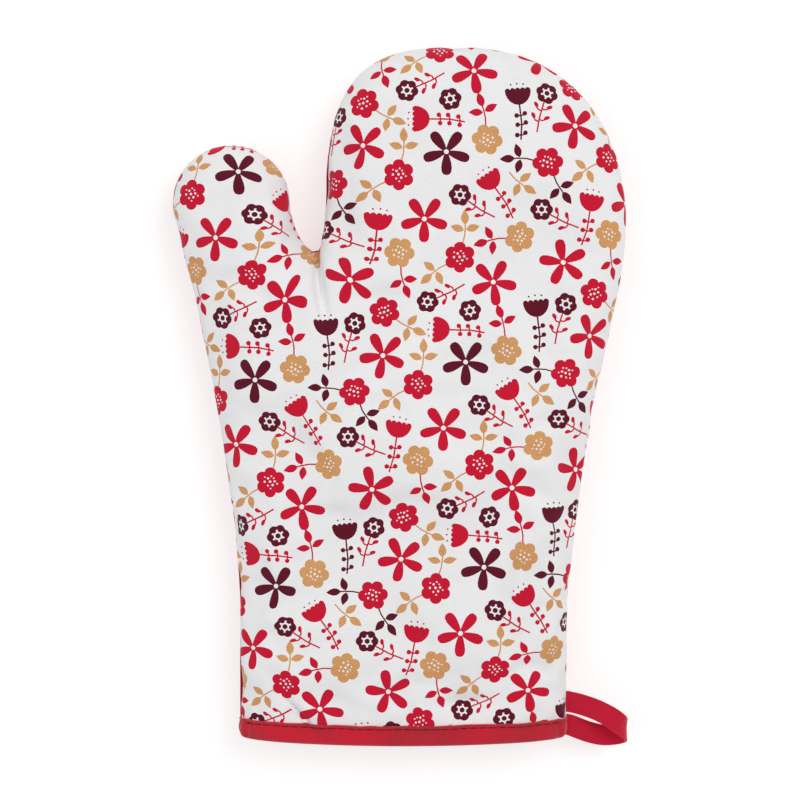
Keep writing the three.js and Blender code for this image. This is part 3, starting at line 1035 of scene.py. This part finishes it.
def add_stitches(cloth, thread):
    """The binding's topstitch: one thread that dips at each needle hole, seen as short stitches."""
    side = cloth.side
    us = np.arange(-RIM_U + 1, RIM_U - 1, 0.4)
    flat = np.column_stack([us, np.full(len(us), BINDING_DEPTH - STITCH_IN)])
    height = 0.55 - 0.75 * pucker(us) ** 3
    centres = cloth.layer(flat, -height)
    ups = cloth.out(flat)
    sections = []
    for i, centre in enumerate(centres):
        ahead = centres[min(i + 1, len(us) - 1)] - centres[max(i - 1, 0)]
        ahead /= np.linalg.norm(ahead)
        sections.append(ring(centre, STITCH_RADIUS, np.cross(ahead, ups[i]), ups[i], 8))
    points, faces = sweep(sections)
    uv = np.array([(u, a * 0.2) for u in us for a in range(8)])
    piece = make_object(f"binding_topstitch_{side}", points, faces, [thread], flat=uv)
    face_out(piece)
    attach(piece, "palm")
    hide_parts(f"binding_stitch_{side}")


def add_seam_thread(thread):
    """The seam's lockstitch line between the panels, one run for the hand and one for the thumb."""
    line = SEWN - SEWN_OUT * SEAM_THREAD_IN
    crotch = np.argmin(FROM_CROTCH)
    past = crotch + 5
    left = past + np.argmax((SEWN[past:] - SEWN[crotch]) @ ACROSS_FOLD < 0)
    above_hem = np.flatnonzero(SEWN[:, 1] > BINDING_DEPTH + 1)
    runs = {"hand": [above_hem[above_hem <= crotch], above_hem[above_hem >= left]],
            "thumb": [np.arange(crotch, left + 1)]}
    nodes = {"hand": ("seam_thread_right", "seam_thread_fingers", "seam_thread_crotch",
                      "seam_thread_left"),
             "thumb": ("seam_thread_thumb",)}
    for part, stretches in runs.items():
        all_points, all_faces = [], []
        for stretch in stretches:
            points, faces = sweep([
                ring(np.array([*line[i], MID_Z]), SEAM_THREAD_RADIUS, np.array([*SEWN_OUT[i], 0]),
                     np.array([0, 0, 1]), 6) for i in stretch])
            start = sum(len(p) for p in all_points)
            all_points.append(points)
            all_faces += [tuple(v + start for v in face) for face in faces]
        points = np.vstack(all_points)
        name = f"seam_thread_{part}_run"
        piece = make_object(name, points, all_faces, [thread], flat=points[:, :2])
        face_out(piece)
        bend_with(piece)
        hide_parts(*nodes[part])


TAPE_HALF = 4.5
LOOP_ROUTE = [
    (68.5, 19.1, 18.5), (72.0, 18.6, 18.9), (77.0, 17.5, 20.4), (83.0, 15.5, 22.0),
    (88.6, 12.7, 22.9), (93.2, 9.3, 22.2), (95.4, 7.0, 19.4), (95.0, 5.4, 16.0),
    (91.6, 4.1, 14.2), (86.0, 3.8, 14.0), (80.0, 5.2, 14.9), (74.5, 7.4, 16.5),
    (71.5, 8.6, 17.4), (68.5, 9.1, 17.5),
]
LOOP_RIPPLE, LOOP_RIPPLE_RATE = 0.12, 1.9
# Half of the tape's section from its middle out: across and thickness, with a groove by the edge.
TAPE_SECTION = [(0, 0.6), (1.4, 0.64), (2.9, 0.6), (3.3, 0.4), (3.7, 0.62),
                (TAPE_HALF - 0.5, 0.66), (TAPE_HALF - 0.12, 0.42), (TAPE_HALF, 0.0)]


def curve_through(points, per_span):
    """A smooth curve through the points."""
    points = np.array(points, float)
    full = np.vstack([2 * points[0] - points[1], points, 2 * points[-1] - points[-2]])
    found = []
    for i in range(1, len(full) - 2):
        a, b, c, d = full[i - 1:i + 3]
        for t in np.arange(per_span) / per_span:
            found.append(0.5 * (2 * b + (c - a) * t + (2 * a - 5 * b + 4 * c - d) * t**2
                                + (3 * b - a - 3 * c + d) * t**3))
    return np.array([*found, points[-1]])


def add_loop(material):
    """The hanging loop: a flat folded tape, both ends caught in the side seam."""
    line = curve_through(LOOP_ROUTE, 8)
    ahead = np.gradient(line, axis=0)
    ahead /= np.linalg.norm(ahead, axis=1)[:, None]
    across = np.array([0, 1, 0]) - ahead * ahead[:, 1:2]
    across /= np.linalg.norm(across, axis=1)[:, None]
    up = np.cross(ahead, across)
    half = [(-c, h) for c, h in TAPE_SECTION[:0:-1]] + TAPE_SECTION
    profile = np.array(half + [(c, -h) for c, h in half[1:-1]][::-1])
    along = np.r_[0, np.cumsum(np.linalg.norm(np.diff(line, axis=0), axis=1))]
    sections = []
    for i, centre in enumerate(line):
        ripple = 1 + LOOP_RIPPLE * math.sin(along[i] * LOOP_RIPPLE_RATE)
        sections.append([centre + c * across[i] + h * ripple * up[i] for c, h in profile])
    points, faces = sweep(sections)
    flat = np.array([(a, c) for a in along for c, _ in profile])
    piece = make_object("hanging_loop_tape", points, faces, [material], flat=flat)
    face_out(piece)
    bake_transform(piece)
    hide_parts("hanging_loop")


# ---- stage
FLOOR_REACH = 40
FLOOR_GREY, FLOOR_GLOW, WORLD_GLOW = 0.45, 0.66, 0.42
CAMERA_HEIGHT, VIEW_WIDTH, SENSOR = 1.05, 0.344, 36
VIEW_CENTRE = (-1.3, 148.3, MID_Z)


def add_stage():
    material, nodes, links = new_material("studio_floor")
    out = nodes.new("ShaderNodeOutputMaterial")
    shader = node(nodes, "ShaderNodeBsdfPrincipled", **{
        "Base Color": (FLOOR_GREY, FLOOR_GREY, FLOOR_GREY, 1), "Roughness": 0.9,
        "Emission Color": (1, 1, 1, 1), "Emission Strength": FLOOR_GLOW})
    links.new(shader.outputs["BSDF"], out.inputs["Surface"])
    mesh = bpy.data.meshes.new("studio_floor")
    far = FLOOR_REACH
    corners = [(-far, -far, 0), (far, -far, 0), (far, far, 0), (-far, far, 0)]
    mesh.from_pydata(corners, [], [(0, 1, 2, 3)])
    mesh.materials.append(material)
    place_object("studio_floor", mesh)


def add_area_light(name, place, size, power, colour=(1, 1, 1)):
    light = bpy.data.lights.new(name, "AREA")
    light.shape = "DISK"
    light.size = size
    light.energy = power
    light.color = colour
    made = place_object(name, light)
    made.location = place
    made.rotation_euler = (-Vector(place)).to_track_quat("-Z", "Y").to_euler()


def add_camera(centre):
    camera = bpy.data.cameras.new("camera")
    made = place_object("camera", camera)
    camera.sensor_width = SENSOR
    camera.lens = SENSOR * CAMERA_HEIGHT / VIEW_WIDTH
    camera.clip_start = 0.01
    made.location = (centre[0], centre[1], centre[2] + CAMERA_HEIGHT)
    bpy.context.scene.camera = made


def add_studio():
    scene = bpy.context.scene
    world = bpy.data.worlds.new("studio")
    scene.world = world
    world.use_nodes = True
    background = world.node_tree.nodes["Background"].inputs
    background["Color"].default_value = (1, 1, 1, 1)
    background["Strength"].default_value = WORLD_GLOW
    scene.view_settings.view_transform = "Standard"
    scene.view_settings.look = "None"
    add_area_light("key", (0.55, 0.45, 1.4), 0.9, 9.5, (1, 0.985, 0.96))
    add_area_light("fill", (-0.7, -0.1, 1.2), 1.2, 4, (0.96, 0.98, 1))
    add_stage()
    add_camera(to_frame(VIEW_CENTRE))


# ---- the mitt
def all_materials():
    cloth = cloth_material
    return {
        "print": [
            cloth("twill_ground", (250, 249, 250), (226, 225, 230), contrast=0.3),
            cloth("twill_red_ink", (214, 16, 52), (178, 12, 44), contrast=0.7),
            cloth("twill_burgundy_ink", (110, 14, 42), (42, 0, 12), contrast=1.0),
            cloth("twill_tan_ink", (232, 176, 118), (170, 102, 46), contrast=1.1),
        ],
        "red": cloth("twill_red", (190, 16, 44), (140, 12, 34)),
        "tape": cloth("tape_red", (216, 26, 50), (124, 46, 54), pitch=0.55, angle=0,
                      sheen=0.3, patchy=1.7),
        "loop": cloth("loop_tape_red", (216, 22, 58), (158, 18, 44), pitch=0.55, angle=35,
                      sheen=0.2, patchy=0.9),
        "wadding": cloth("cotton_wadding", (240, 234, 220), (222, 214, 196), pitch=2.4,
                         bump=0.8, sheen=0.4),
        "lining": cloth("lining_calico", (240, 238, 232), (212, 208, 200), pitch=0.5, angle=0),
        # The thread's own red is darkened with painted shade, so that the topstitch line shows as the
        # shaded groove under the binding's rolled edge.
        "thread": cloth("sewing_thread_painted_shade", (120, 8, 28), (76, 4, 18), pitch=0.35, angle=60),
    }


def build():
    cloths = {side: Cloth(side, fill(side), FOLDS[side]) for side in ("front", "back")}
    for cloth in cloths.values():
        billow(cloth)
    settle(cloths["back"])
    materials = all_materials()
    add_panels(cloths, materials)
    for cloth in cloths.values():
        add_binding(cloth, materials["tape"], materials["thread"])
    add_seam_thread(materials["thread"])
    add_loop(materials["loop"])


add_studio()
build()
